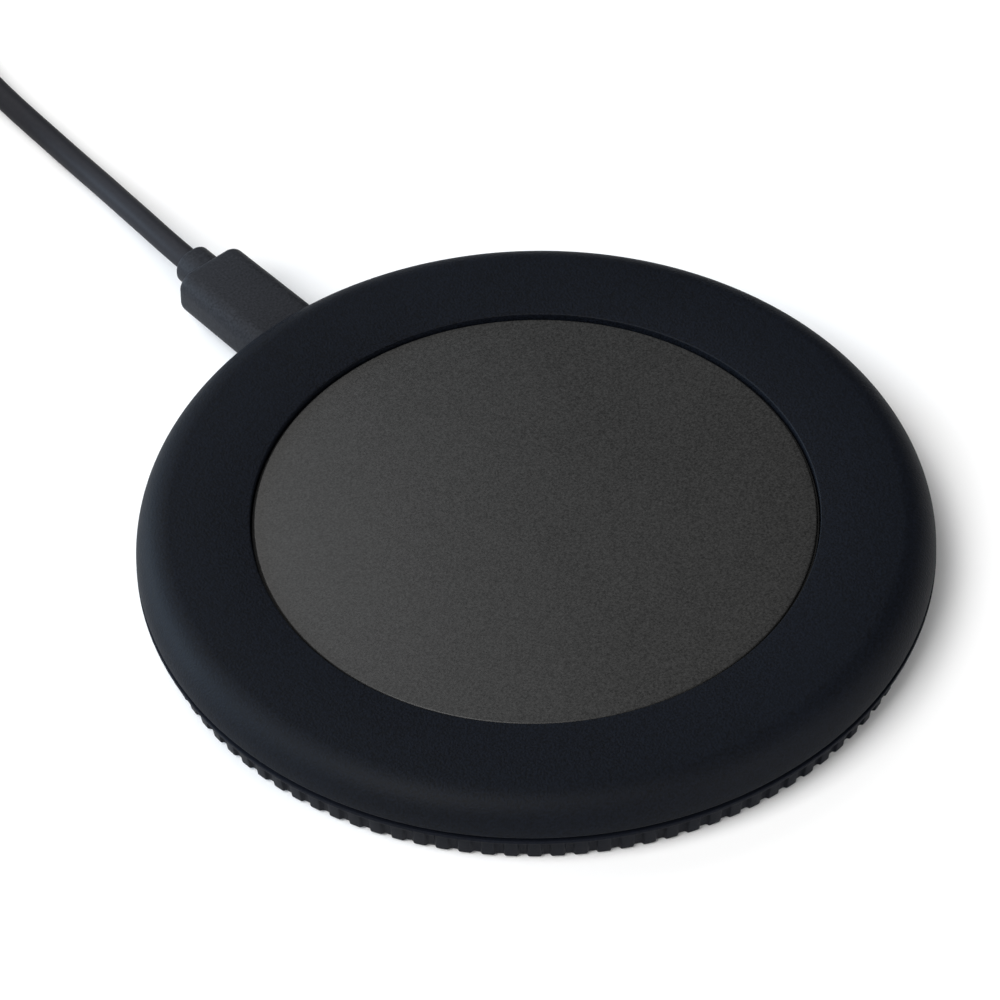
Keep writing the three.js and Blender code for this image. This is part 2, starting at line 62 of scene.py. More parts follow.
lens = bpy.data.cameras.new("camera")
lens.lens = 288
lens.sensor_width = 36
camera = bpy.data.objects.new("camera", lens)
bpy.context.scene.collection.objects.link(camera)
bpy.context.scene.camera = camera
towards_camera = Vector((0, -cos(VIEW_RISE), sin(VIEW_RISE)))
camera.matrix_world = (
    Matrix.Rotation(VIEW_TURN, 4, "Z")
    @ Matrix.Translation((AIM + towards_camera * VIEW_DISTANCE) * MM)
    @ Matrix.Rotation(pi / 2 - VIEW_RISE, 4, "X")
    @ Matrix.Rotation(VIEW_ROLL, 4, "Z")
)
print("camera at", [round(value, 4) for value in camera.matrix_world.translation])

# %% [markdown]
# # The cord's route
# A free cord is one flexible thing of fixed length, so its route comes before its shape. It leaves the plug
# level, sinks to the table under its own weight within a few centimetres, and runs on. The rest of its metre
# is wound into a neat coil beside the pad. The first points repeat those of the cord's solid.

# %% List the free stretch
CORD_DIAMETER = 3.2
LEAD_ROUTE = [
    (0, 67.8, 5.2),
    (0.12, 71, 5.13),
    (0.37, 74, 4.91),
    (0.78, 77.5, 4.51),
    (1.24, 81, 4),
    (1.8, 85, 3.36),
    (2.35, 89, 2.73),
    (2.82, 93, 2.18),
    (3.2, 97, 1.8),
    (3.5, 101.5, 1.65),
    (3.7, 106, 1.65),
    (3.95, 110.5, 1.68),
    (4.28, 115, 1.8),
    (4.68, 119.2, 2),
    (5.3, 125, 2.2),
]
HIDDEN_START = (0, 66.6, 5.2)  # inside the collar, so that no gap shows where the cord comes out
print("free stretch:", len(LEAD_ROUTE), "points")

# %% [markdown]
# # The coil's route
# The turns lie beside each other in four columns and in two rows. Each turn keeps one radius, and over the
# last sixth of the way round it eases to the next column, as a cord does when it is wound by hand. Between
# the rows the cord climbs on the inside of the coil, where there is room for it to bulge inwards.

# %% Wind the coil
COIL_HEADING = radians(6.5)
COIL_TOUCH = Vector((6.1, 132))
COIL_TURN_RADIUS = 18.1
COIL_PITCH = 3.25
COIL_COLUMNS = 4
COIL_ROW_HEIGHTS = (2.3, 5.5)
TURN_POINTS = 30
CHANGE_SHARE = 1 / 6  # the part of each turn in which it changes column
CLIMB_BULGE = 1.5
ahead = Vector((sin(COIL_HEADING), cos(COIL_HEADING)))
outer_turn = COIL_TURN_RADIUS + (COIL_COLUMNS - 1) / 2 * COIL_PITCH
coil_centre = COIL_TOUCH + outer_turn * Vector((-ahead.y, ahead.x))


def eased(share):
    share = min(max(share, 0), 1)
    return share * share * (3 - 2 * share)


def coil_route():
    down = list(range(COIL_COLUMNS))
    turns = [(column, 0) for column in down] + [(column, 1) for column in reversed(down)]
    route = []
    for here, after in zip(turns, turns[1:] + turns[-1:]):
        climbing = after[1] > here[1]
        for step in range(TURN_POINTS):
            share = step / TURN_POINTS
            late = (share - 1 + CHANGE_SHARE) / CHANGE_SHARE
            change = eased(late)
            column = here[0] + (after[0] - here[0]) * change
            radius = outer_turn - column * COIL_PITCH
            if climbing and late > 0:
                radius -= CLIMB_BULGE * sin(pi * late)
            low, high = COIL_ROW_HEIGHTS[here[1]], COIL_ROW_HEIGHTS[after[1]]
            angle = 2 * pi * share - COIL_HEADING
            spoke = Vector((cos(angle), sin(angle))) * radius
            route.append((*(coil_centre + spoke), low + (high - low) * change))
    return route


# %% [markdown]
# # The whole cord
# After the last turn the cord leaves the coil where it met it, now on the upper row, and comes down to the
# far plug. A Bezier spline with automatic handles passes through every point and keeps the curve smooth.

# %% Make the cord
FAR_PLUG_START = 24.3  # from the coil's touching point, along the heading
FAR_PLUG_HEIGHT = 4.05
TAIL_ROUTE = [(0, 5.5), (5, 5.4), (9.5, 5.0), (14, 4.55), (19, 4.16), (24, 4.05), (27.5, 4.05)]
tail = [(*(COIL_TOUCH + ahead * distance), height) for distance, height in TAIL_ROUTE]
cord_points = [HIDDEN_START, *LEAD_ROUTE, *coil_route(), *tail]

cord_line = bpy.data.curves.new("cord", "CURVE")
cord_line.dimensions = "3D"
cord_line.bevel_depth = 1  # times each knot's radius
cord_line.bevel_resolution = 7
cord_line.resolution_u = 3
cord_line.use_fill_caps = True
spline = cord_line.splines.new("BEZIER")
spline.bezier_points.add(len(cord_points) - 1)
for knot, point in zip(spline.bezier_points, cord_points):
    knot.co = Vector(point) * MM
    knot.radius = CORD_DIAMETER / 2 * MM
    knot.handle_left_type = knot.handle_right_type = "AUTO"
cord = bpy.data.objects.new("cord", cord_line)
bpy.context.scene.collection.objects.link(cord)
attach(cord, "usb_cable")
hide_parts("cord_lead", "cord_coil", "cord_tail")
measured = sum((Vector(b) - Vector(a)).length for a, b in zip(cord_points, cord_points[1:])) * MM
print(f"cord: {len(cord_points)} points, {measured:.3f} m")

# %% [markdown]
# # Tools for the hard and soft pieces
# Most pieces of the pad are round, so they start as half a section that is spun about the vertical axis.
# Spinning leaves the seam and the poles open until the doubles are merged. A section is a list of places,
# each with its distance from the axis and its height.

# %% Spin and round
ROUND_STEPS = 288
NEAR = 2e-6  # two points closer than this are the same place


def rounded(bm, edges, offset, segments=3):
    bmesh.ops.bevel(
        bm,
        geom=edges,
        offset=offset * MM,
        offset_type="OFFSET",
        segments=segments,
        profile=0.5,
        affect="EDGES",
        clamp_overlap=True,
        material=-1,
    )


def closed(bm):
    bmesh.ops.remove_doubles(bm, verts=bm.verts, dist=NEAR / 10)
    bmesh.ops.recalc_face_normals(bm, faces=bm.faces)
    return bm


def turned(section, steps=ROUND_STEPS):
    bm = bmesh.new()
    corners = [bm.verts.new((radius * MM, 0, height * MM)) for radius, height in section]
    edges = [bm.edges.new(pair) for pair in zip(corners, corners[1:])]
    if section[0][0] > 0:
        edges.append(bm.edges.new((corners[-1], corners[0])))
    bmesh.ops.spin(
        bm,
        geom=corners + edges,
        cent=(0, 0, 0),
        axis=(0, 0, 1),
        angle=2 * pi,
        steps=steps,
        use_merge=True,
    )
    return closed(bm)


def circle_edges(bm, radius, height):
    def lies_on(vert):
        return abs(vert.co.xy.length - radius * MM) < NEAR and abs(vert.co.z - height * MM) < NEAR

    return [edge for edge in bm.edges if all(lies_on(vert) for vert in edge.verts)]


# %% [markdown]
# The rest start as a cube that is stretched into a bar along the plug's axis, with its long edges rounded.
# Plugs, shells and the band are all such bars, and so are the tools that cut openings for them.

# %% Stretch a bar along the plug's axis
PORT_HEIGHT = 5.2


def bar(width, thick, corner, start, end, height=PORT_HEIGHT, segments=8):
    bm = bmesh.new()
    bmesh.ops.create_cube(bm, size=1)
    bmesh.ops.scale(bm, vec=(width * MM, (end - start) * MM, thick * MM), verts=bm.verts)
    bmesh.ops.translate(bm, vec=(0, (start + end) / 2 * MM, height * MM), verts=bm.verts)
    lengthwise = [edge for edge in bm.edges if abs(edge.verts[0].co.y - edge.verts[1].co.y) > NEAR]
    rounded(bm, lengthwise, corner, segments)
    return bm


def end_faces(bm, end):
    return [face for face in bm.faces if all(abs(vert.co.y - end * MM) < NEAR for vert in face.verts)]


def end_edges(bm, end):
    return [edge for edge in bm.edges if all(abs(vert.co.y - end * MM) < NEAR for vert in edge.verts)]


# %% [markdown]
# An opening could be modelled face by face, but a Boolean modifier cuts it in one step. The modifier works on
# objects, so both shapes become objects for a moment, and the result is read back as a mesh.

# %% Cut one shape with another
def loose_object(name, bm):
    mesh = bpy.data.meshes.new(name)
    bm.to_mesh(mesh)
    bm.free()
    made = bpy.data.objects.new(name, mesh)
    bpy.context.scene.collection.objects.link(made)
    return made


def combined(bm, operation, *others):
    body = loose_object("body", bm)
    tools = [loose_object("tool", other) for other in others]
    for tool in tools:
        step = body.modifiers.new("combine", "BOOLEAN")
        step.operation = operation
        step.solver = "EXACT"
        step.object = tool
    whole = body.evaluated_get(bpy.context.evaluated_depsgraph_get())
    result = bmesh.new()
    result.from_mesh(whole.to_mesh())
    whole.to_mesh_clear()
    for spent in [body, *tools]:
        mesh = spent.data
        bpy.data.objects.remove(spent)
        bpy.data.meshes.remove(mesh)
    return result


# %% [markdown]
# Each finished piece needs the same few things: smooth shading with sharp corners kept, the body that it
# moves with, and the imported nodes that it stands for, which are hidden.

# %% Finish a piece
pieces = {}


def piece(name, bm, body, slot, *nodes, sharp=40):
    made = loose_object(name, bm)
    made.data.shade_smooth()
    made.data.set_sharp_from_angle(angle=radians(sharp))
    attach(made, body)
    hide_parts(*nodes)
    pieces[name] = made
    size = [round(side / MM, 2) for side in made.dimensions]
    print(f"{name}: {len(made.data.polygons)} faces, {size} mm")


# %% [markdown]
# # The port's pocket
# The plug's moulded body sinks a few millimetres into the pad's edge, so skin and base share one opening. It
# is a rounded bar, a little larger than the plug, that is cut out of both.

# %% The cutting bar
PLUG_WIDTH = 10.7
PLUG_THICK = 6.4
PLUG_CORNER = 2.3
POCKET_GAP = 0.4
POCKET_END = 45.8
PAST_RIM = 56


def pocket_bar():
    width, thick = PLUG_WIDTH + 2 * POCKET_GAP, PLUG_THICK + 2 * POCKET_GAP
    return bar(width, thick, PLUG_CORNER + POCKET_GAP, POCKET_END, PAST_RIM)


# %% [markdown]
# # The silicone skin
# A soft ring is stretched over the housing. Its top is flat, so that a phone lies steady, and it falls away
# in a broad shoulder that is a quarter of an ellipse. Spinning the section gives the whole ring at once, and
# a bevel softens its inner lip and its lower edge, because moulded silicone has no sharp edges.

# %% Spin the skin
SHOULDER_RADIUS = 45.6
SEAM_HEIGHT = 5
CROWN = (4.4, 5)  # how far the shoulder reaches out, and how far down
CROWN_INSIDE = (2.8, 3.35)
CROWN_STEPS = 24
INSIDE_STEPS = 10
SKIN_INNER = 35.55
SKIN_UNDER = 8.35
PAD_TOP = 10


def quarter_ellipse(half_axes, steps):
    across, down = half_axes
    angles = [step / steps * pi / 2 for step in range(steps + 1)]
    return [(SHOULDER_RADIUS + across * sin(a), SEAM_HEIGHT + down * cos(a)) for a in angles]


skin_section = [(SKIN_INNER, SKIN_UNDER), *quarter_ellipse(CROWN_INSIDE, INSIDE_STEPS)]
skin_section += [*reversed(quarter_ellipse(CROWN, CROWN_STEPS)), (SKIN_INNER, PAD_TOP)]
skin = turned(skin_section)
rounded(skin, circle_edges(skin, SKIN_INNER, PAD_TOP), offset=0.18, segments=4)
rounded(skin, circle_edges(skin, SHOULDER_RADIUS + CROWN[0], SEAM_HEIGHT), offset=0.3, segments=4)
skin = combined(skin, "DIFFERENCE", pocket_bar())
piece("silicone_skin", skin, "pad", "silicone_skin", "top_skin")

# %% [markdown]
# # The centre plate
# A thin charcoal disc of moulded plastic lies half a millimetre below the skin. A ledge runs round its foot
# and shows as a dark ring in the narrow gap, where its colour is darkened with painted shade. The rim needs a
# real rounding, because a rounded edge catches the light where a sharp one stays invisible.

# %% Spin the plate
PLATE_RADIUS = 35.1
PLATE_TOP = 9.5
PLATE_BOTTOM = 8.3
LEDGE = (35.35, 9.05)
plate_section = [(0, PLATE_BOTTOM), (LEDGE[0], PLATE_BOTTOM), LEDGE, (PLATE_RADIUS, LEDGE[1])]
plate_section += [(PLATE_RADIUS, PLATE_TOP), (0, PLATE_TOP)]
plate = turned(plate_section)
rounded(plate, circle_edges(plate, PLATE_RADIUS, PLATE_TOP), offset=0.2, segments=4)
piece("charcoal_plate", plate, "pad", "plate", "centre_plate")

# %% [markdown]
# # The ribbed base
# The hard base is gripped by 108 short ribs that stand under a thin lip. One rib is built as a narrow wedge
# of the whole base: its outline is extruded down to the foot and across the underside, and also out round
# the lip and into the tray. Its edges are bevelled once, and a spin with duplicates repeats it.

# %% Extrude one wedge
RIB_COUNT = 108
RIB_STEP = 2 * pi / RIB_COUNT
RIB_TIP = 49.3
RIB_ROOT = 48.9
RIB_LEAN = 48.7 / RIB_TIP  # the ribs lean in towards the foot
RIB_OUTLINE = [(0, RIB_ROOT), (0.16, RIB_ROOT), (0.23, RIB_TIP)]  # share of the step, radius
RIB_OUTLINE += [(0.77, RIB_TIP), (0.84, RIB_ROOT), (1, RIB_ROOT)]
RIB_EDGE = 0.16
LIP_RADIUS = 50
LIP_UNDER = 4
LIP_TOP = 4.5
BASE_UNDER = 0.4
GROOVE_TOP = 1.1
UNDERSIDE = [(47.2, BASE_UNDER), (42.3, BASE_UNDER), (42.3, GROOVE_TOP)]
UNDERSIDE += [(29.7, GROOVE_TOP), (29.7, BASE_UNDER), (0, BASE_UNDER)]
TRAY_FLOOR = 2
TRAY_RIM = 5.8
INSIDE = [(LIP_RADIUS, LIP_UNDER), (LIP_RADIUS, LIP_TOP), (46.4, LIP_TOP)]
INSIDE += [(46.4, TRAY_RIM), (45.2, TRAY_RIM), (45.2, TRAY_FLOOR), (0, TRAY_FLOOR)]
PAST_TRAY = 48  # every edge of a rib lies further out than this


def spread(bm, edges, place):
    """Extrude a chain of edges and put each new point where place says; returns the new chain."""
    grown = bmesh.ops.extrude_edge_only(bm, edges=edges)["geom"]
    fresh = {item for item in grown if isinstance(item, bmesh.types.BMVert)}
    for vert in fresh:
        vert.co = place(vert.co)
    chain = [item for item in grown if isinstance(item, bmesh.types.BMEdge)]
    return [edge for edge in chain if set(edge.verts) <= fresh]


def to_ring(radius, height):
    return lambda at: Vector((*(at.xy.normalized() * radius * MM), height * MM))


def to_foot(at):
    return Vector((at.x * RIB_LEAN, at.y * RIB_LEAN, BASE_UNDER * MM))


wedge = bmesh.new()
outline = []
for share, radius in RIB_OUTLINE:
    angle = share * RIB_STEP
    outline.append(wedge.verts.new((radius * MM * cos(angle), radius * MM * sin(angle), LIP_UNDER * MM)))
foot = spread(wedge, [wedge.edges.new(pair) for pair in zip(outline, outline[1:])], to_foot)
spread(wedge, foot, to_ring(*UNDERSIDE[0]))
shared = [edge for edge in wedge.edges if len(edge.link_faces) == 2]
rib_edges = [edge for edge in shared if edge.verts[0].co.xy.length > PAST_TRAY * MM]
rounded(wedge, rib_edges, RIB_EDGE, segments=2)
print("wedge:", len(wedge.faces), "faces on one rib")

# %% [markdown]
# The inner rings need fewer points than the ribs, so they are extruded after the bevel. The chain under the
# lip goes out and round it and into the tray; the chain on the underside goes in past the foot's groove.

# %% Close the wedge and repeat it
UNDER_CHAIN_RADII = (47, 47.4)
LIP_CHAIN_RADII = (48.6, 49.5)


def chain_at(bm, height, radii):
    low, high = radii

    def fits(vert):
        return abs(vert.co.z - height * MM) < NEAR and low * MM < vert.co.xy.length < high * MM

    return [edge for edge in bm.edges if len(edge.link_faces) == 1 and all(fits(vert) for vert in edge.verts)]


under_chain = chain_at(wedge, BASE_UNDER, UNDER_CHAIN_RADII)
for ring in UNDERSIDE[1:]:
    under_chain = spread(wedge, under_chain, to_ring(*ring))
lip_chain = chain_at(wedge, LIP_UNDER, LIP_CHAIN_RADII)
for ring in INSIDE:
    lip_chain = spread(wedge, lip_chain, to_ring(*ring))
bmesh.ops.spin(
    wedge,
    geom=wedge.verts[:] + wedge.edges[:] + wedge.faces[:],
    cent=(0, 0, 0),
    axis=(0, 0, 1),
    angle=RIB_STEP * (RIB_COUNT - 1),
    steps=RIB_COUNT - 1,
    use_duplicate=True,
)
base = closed(wedge)
lip_edges = circle_edges(base, LIP_RADIUS, LIP_TOP) + circle_edges(base, LIP_RADIUS, LIP_UNDER)
rounded(base, lip_edges, offset=0.1, segments=2)
print("base:", len(base.faces), "faces on", RIB_COUNT, "ribs")

# %% [markdown]
# The port's inner wall, the bosses and the screw holes come from plain shapes that are joined to the tray or
# cut out of it. They are out of sight until the plug is pulled or the pad is turned over.

# %% Join and cut the base's fittings
SCREW_CIRCLE = 36
SCREW_ANGLES = (45, 135, 225, 315)
SCREW_STEPS = 48
BOSS = [(0, 1.8), (3.2, 1.8), (3.2, 3.2), (0, 3.2)]
SCREW_HOLE = [(0, -1), (2.2, -1), (2.2, 2.1), (1.2, 2.1), (1.2, 4), (0, 4)]  # wide below for the head
screw_places = [(SCREW_CIRCLE * cos(radians(a)), SCREW_CIRCLE * sin(radians(a))) for a in SCREW_ANGLES]


def moved(bm, x=0, y=0, z=0):
    bmesh.ops.translate(bm, vec=(x * MM, y * MM, z * MM), verts=bm.verts)
    return bm


def columns(section):
    return [moved(turned(section, SCREW_STEPS), *place) for place in screw_places]


port_wall = bar(width=13.2, thick=4.4, corner=0.3, start=44.6, end=POCKET_END, height=4, segments=2)
socket_opening = bar(width=9.35, thick=3.6, corner=1.75, start=43, end=47)
base = combined(base, "UNION", port_wall, *columns(BOSS))
base = combined(base, "DIFFERENCE", pocket_bar(), *columns(SCREW_HOLE))
base = combined(base, "DIFFERENCE", socket_opening)
piece("ribbed_base", base, "pad", "housing", "lower_housing", sharp=50)

# %% [markdown]
# # The foot ring and the screws
# A rubber ring in the base's groove keeps the pad from sliding. Four pan-head screws hold the two housings
# together, and a cross is cut into each head.

# %% Spin the foot ring
FOOT_INNER = 30
FOOT_OUTER = 42
FOOT_THICK = 0.8
foot_section = [(FOOT_INNER, 0), (FOOT_OUTER, 0), (FOOT_OUTER, FOOT_THICK), (FOOT_INNER, FOOT_THICK)]
foot_ring = turned(foot_section)
foot_edges = circle_edges(foot_ring, FOOT_INNER, 0) + circle_edges(foot_ring, FOOT_OUTER, 0)
rounded(foot_ring, foot_edges, offset=0.25)
piece("rubber_foot", foot_ring, "pad", "foot_rubber", "foot_ring")

# %% Spin the screws and cut their crosses
HEAD_RADIUS = 1.9
HEAD_UNDER = 1.2
HEAD_EDGE = 0.22
SHANK_RADIUS = 0.9
SCREW_SECTION = [(0, HEAD_UNDER), (HEAD_RADIUS, HEAD_UNDER), (HEAD_RADIUS, 1.8), (SHANK_RADIUS, 1.8)]
SCREW_SECTION += [(SHANK_RADIUS, 5.7), (0.3, 6.2), (0, 6.2)]
CROSS_LENGTH = 2.4
CROSS_WIDTH = 0.44
CROSS_HEIGHT = 1.3


def cross_blade(across, along):
    half = along / 2
    return bar(across, 0.8, 0.05, -half, half, CROSS_HEIGHT, segments=1)


for number, place in enumerate(screw_places, 1):
    screw = turned(SCREW_SECTION, SCREW_STEPS)
    rounded(screw, circle_edges(screw, HEAD_RADIUS, HEAD_UNDER), HEAD_EDGE)
    for blade in (cross_blade(CROSS_LENGTH, CROSS_WIDTH), cross_blade(CROSS_WIDTH, CROSS_LENGTH)):
        screw = combined(screw, "DIFFERENCE", blade)
    name = f"housing_screw_{number}"
    piece(f"cross_head_screw_{number}", moved(screw, *place), "pad", "steel", name)

# %% [markdown]
# # The plug
# The plug's moulded body is a flat-topped box with broadly rounded long edges and a softly rounded back. It
# is a hair narrower at the back, as moulded grips are, so that it leaves its mould. A short collar grips the
# cord behind it.

# %% Round the plug's body
PLUG_FRONT = 46.3
PLUG_BACK = 64.1
PLUG_BACK_WIDTH = 10.3


def narrowed(bm, start, end, share):
    for vert in bm.verts:
        along = (vert.co.y / MM - start) / (end - start)
        vert.co.x *= 1 + (share - 1) * along
    return bm


grip = bar(PLUG_WIDTH, PLUG_THICK, PLUG_CORNER, PLUG_FRONT, PLUG_BACK, segments=10)
rounded(grip, end_edges(grip, PLUG_BACK), offset=1.1, segments=6)
rounded(grip, end_edges(grip, PLUG_FRONT), offset=0.3, segments=2)
grip = narrowed(grip, PLUG_FRONT, PLUG_BACK, PLUG_BACK_WIDTH / PLUG_WIDTH)
piece("plug_grip", grip, "usb_cable", "plug_mould", "plug_overmold")

COLLAR_BACK = 67.5
collar = bar(width=5.3, thick=4.9, corner=2.3, start=63.4, end=COLLAR_BACK, segments=10)
rounded(collar, end_edges(collar, COLLAR_BACK), offset=0.45, segments=4)
piece("cord_collar", collar, "usb_cable", "plug_mould", "plug_collar")

# %% [markdown]
# # The metal shells
# The plug's tip and the socket are bent from thin sheet. A bar loses its end faces and the rest is given a
# wall with solidify.

# %% Open bars into shells


def shell(bm, wall, *open_ends):
    gone = [face for end in open_ends for face in end_faces(bm, end)]
    bmesh.ops.delete(bm, geom=gone, context="FACES")
    bmesh.ops.recalc_face_normals(bm, faces=bm.faces)
    bmesh.ops.solidify(bm, geom=bm.faces[:], thickness=wall * MM)
    return bm


TIP_ENDS = (39.6, 46)
TIP_WALL = 0.3
plug_tip = shell(bar(8.25, 2.4, 1.15, *TIP_ENDS), TIP_WALL, *TIP_ENDS)
piece("plug_tip", plug_tip, "usb_cable", "steel", "plug_shell", sharp=50)

SOCKET_ENDS = (38.2, 45.6)
SOCKET_WALL = 0.28
socket = shell(bar(8.95, 3.2, 1.55, *SOCKET_ENDS), SOCKET_WALL, *SOCKET_ENDS)
piece("socket", socket, "pad", "steel", "receptacle_shell", sharp=50)

# %% [markdown]
# # The far plug
# The other end of the cable is the wide flat plug that goes into a charger. It is built along the same axis
# as the first plug and then turned to the cord's heading. Its metal tip has two square windows on each face.

# %% Build the far plug
FAR_COLLAR_END = 5.7
FAR_GRIP_ENDS = (5.3, 26.3)
FAR_TIP_ENDS = (26.6, 38.6)
FAR_TIP_WALL = 0.4
WINDOW_ENDS = (31.5, 33.8)
WINDOW_SHIFT = 2.7


def headed(bm):
    place = COIL_TOUCH + ahead * FAR_PLUG_START
    bmesh.ops.rotate(bm, verts=bm.verts, cent=(0, 0, 0), matrix=Matrix.Rotation(-COIL_HEADING, 3, "Z"))
    return moved(bm, *place, FAR_PLUG_HEIGHT)


far_grip = bar(15.8, 8, 2, *FAR_GRIP_ENDS, height=0)
rounded(far_grip, end_edges(far_grip, FAR_GRIP_ENDS[0]), offset=1.2, segments=5)
rounded(far_grip, end_edges(far_grip, FAR_GRIP_ENDS[1]), offset=0.5, segments=3)
piece("far_plug_grip", headed(far_grip), "usb_cable", "plug_mould", "far_plug_overmold")

far_collar = bar(5.8, 5.4, 2.5, 0, FAR_COLLAR_END, height=0)
rounded(far_collar, end_edges(far_collar, 0), offset=0.4, segments=3)
far_collar = narrowed(far_collar, FAR_COLLAR_END, 0, share=0.8)
piece("far_plug_neck", headed(far_collar), "usb_cable", "plug_mould", "far_plug_collar")

far_tip = shell(bar(12, 4.5, 0.5, *FAR_TIP_ENDS, height=0, segments=4), FAR_TIP_WALL, *FAR_TIP_ENDS)
for side in (-1, 1):
    window = bar(2.2, 6, 0.2, *WINDOW_ENDS, height=0, segments=2)
    far_tip = combined(far_tip, "DIFFERENCE", moved(window, WINDOW_SHIFT * side))
piece("far_plug_tip", headed(far_tip), "usb_cable", "steel", "far_plug_shell", sharp=50)

# %% [markdown]
# # The tie
# A woven band holds the coil together. It is one more open bar, wrapped round one side of the coil: built on
# the plug's axis, moved out to the turns' middle radius and then turned to its place.

# %% Wrap the tie
TIE_ANGLE = radians(150)
TIE_WALL = 0.45
TIE_SIZE = (14.85, 8.05)
TIE_ENDS = (-2.5, 2.5)
tie = bar(*TIE_SIZE, 1.2, *TIE_ENDS, height=TIE_SIZE[1] / 2)
tie = shell(tie, TIE_WALL, *TIE_ENDS)
moved(tie, COIL_TURN_RADIUS)
bmesh.ops.rotate(tie, verts=tie.verts, cent=(0, 0, 0), matrix=Matrix.Rotation(TIE_ANGLE, 3, "Z"))
piece("cord_band", moved(tie, *coil_centre), "usb_cable", "tie_band", "cord_tie", sharp=50)

# %% [markdown]
# # Arithmetic for finishes
# A finish is a set of shader nodes. To keep its sums readable, a small class wraps one output socket and
# turns Python's operators into Math nodes, so that 1 - grain is a real expression. A second class holds one
# material and adds any other node through a single method.

# %% Wrap sockets and materials


class Level:
    """A number or colour that varies over a surface."""

    def __init__(self, finish, socket):
        self.finish = finish
        self.socket = socket

    def math(self, operation, *values):
        return self.finish.node("Math", {"operation": operation}, dict(enumerate(values)))

    def __add__(self, other):
        return self.math("ADD", self, other)

    def __sub__(self, other):
        return self.math("SUBTRACT", self, other)

    def __rsub__(self, other):
        return self.math("SUBTRACT", other, self)

    def __mul__(self, other):
        return self.math("MULTIPLY", self, other)

    __radd__ = __add__
    __rmul__ = __mul__

    def sine(self):
        return self.math("SINE", self)

    def above(self, limit):
        return self.math("GREATER_THAN", self, limit)


class Finish:
    """One material. Its constants sit on the shader's own sockets."""

    def __init__(self, name, **constants):
        self.material = bpy.data.materials.new(name)
        self.material.use_nodes = True
        self.tree = self.material.node_tree
        self.shader = self.tree.nodes["Principled BSDF"]
        self.feed(self.shader, {key.replace("_", " "): value for key, value in constants.items()})
        self.at = self.node("TexCoord", output="Object")

    def feed(self, node, inputs):
        for key, value in inputs.items():
            if isinstance(value, Level):
                self.tree.links.new(value.socket, node.inputs[key])
            else:
                node.inputs[key].default_value = value

    def node(self, kind, settings=None, inputs=None, output=0):
        made = self.tree.nodes.new("ShaderNode" + kind)
        for key, value in (settings or {}).items():
            setattr(made, key, value)
        self.feed(made, inputs or {})
        return Level(self, made.outputs[output])

    def surface(self, **levels):
        self.feed(self.shader, {key.replace("_", " "): level for key, level in levels.items()})

    def mixed(self, share, first, second):
        return self.node("Mix", {"data_type": "RGBA"}, {0: share, 6: first, 7: second}, output=2)

    def grain(self, size, detail=2.0, at=None):
        """Noise whose spots are about size millimetres across."""
        inputs = {"Vector": at or self.at, "Scale": 1 / (size * MM), "Detail": detail}
        return self.node("TexNoise", None, inputs)

    def relief(self, height, depth):
        """Bump from a height that runs from 0 to 1 over depth millimetres."""
        self.surface(Normal=self.node("Bump", None, {"Height": height, "Distance": depth * MM}))

    def weighted(self, *weights):
        """The place on the piece, with each of its coordinates weighted."""
        return self.node("VectorMath", {"operation": "MULTIPLY"}, {0: self.at, 1: weights})


def grey(level):
    return (level, level, level, 1)


def tone(red, green, blue):
    return (red, green, blue, 1)


def scaled(colour, share):
    return (*(channel * share for channel in colour[:3]), 1)


def dress(finish, *things):
    for thing in things:
        if thing.material_slots:
            for slot in thing.material_slots:
                slot.material = finish.material
        else:
            thing.data.materials.append(finish.material)


# %% [markdown]
# # Silicone, plastic and rubber
# These finishes are dark and matte, so what makes them look real is small: a slow change of tone, a fine
# moulded grain in colour and relief, and a roughness that isn't even. Each is the same recipe with its own
# colour, grain size and depth, so one function makes them all.

# %% Write the matte recipe
DRIFT_SIZE = 14
DARK_SHARE = 0.4
LIGHT_SHARE = 1.6
CONTRAST = 4
ROUGH_DRIFT = 0.12
ROUGH_GRAIN = 0.1


def matte(name, colour, roughness, specular, grain_size, grain_depth, speckle=0.1, drift=0.08):
    finish = Finish(name, Specular_IOR_Level=specular)
    slow = finish.grain(DRIFT_SIZE, 2)
    fine = finish.grain(grain_size, 1.5)
    share = (fine - 0.5) * speckle * CONTRAST + (slow - 0.5) * drift * CONTRAST + 0.5
    finish.colour = finish.mixed(share, scaled(colour, DARK_SHARE), scaled(colour, LIGHT_SHARE))
    finish.roughness = (slow - 0.5) * ROUGH_DRIFT + (fine - 0.5) * ROUGH_GRAIN + roughness
    finish.surface(Base_Color=finish.colour, Roughness=finish.roughness)
    finish.relief(fine, grain_depth)
    return finish


# %% [markdown]
# After a finish's name and colour come its roughness, its specular level, and its grain's size and depth in
# millimetres. Where the grain shows in the colour too, its strength follows, and then the slow drift's.

# %% Mix the matte finishes
silicone = matte("silicone", tone(0.0022, 0.0032, 0.0058), 0.62, 0.108, 0.28, 0.06, 0.6)
plate_plastic = matte("plate_plastic", tone(0.0218, 0.0214, 0.0208), 0.42, 0.32, 0.24, 0.012, 0.45, 0.015)
housing_plastic = matte("housing_plastic", tone(0.0045, 0.0055, 0.0088), 0.5, 0.045, 0.25, 0.02, 0.3)
plug_plastic = matte("plug_plastic", tone(0.02, 0.0212, 0.0247), 0.5, 0.05, 0.3, 0.02, 0.27)
cord_jacket = matte("cord_jacket", tone(0.021, 0.0213, 0.0245), 0.45, 0.03, 0.5, 0.006, 0.07)
foot_rubber = matte("foot_rubber", tone(0.012, 0.012, 0.013), 0.8, 0.2, 0.5, 0.02)
chip_case = matte("chip_case", grey(0.014), 0.5, 0.4, 0.15, 0.008)
contact_block = matte("contact_block", grey(0.016), 0.45, 0.4, 0.2, 0.004)
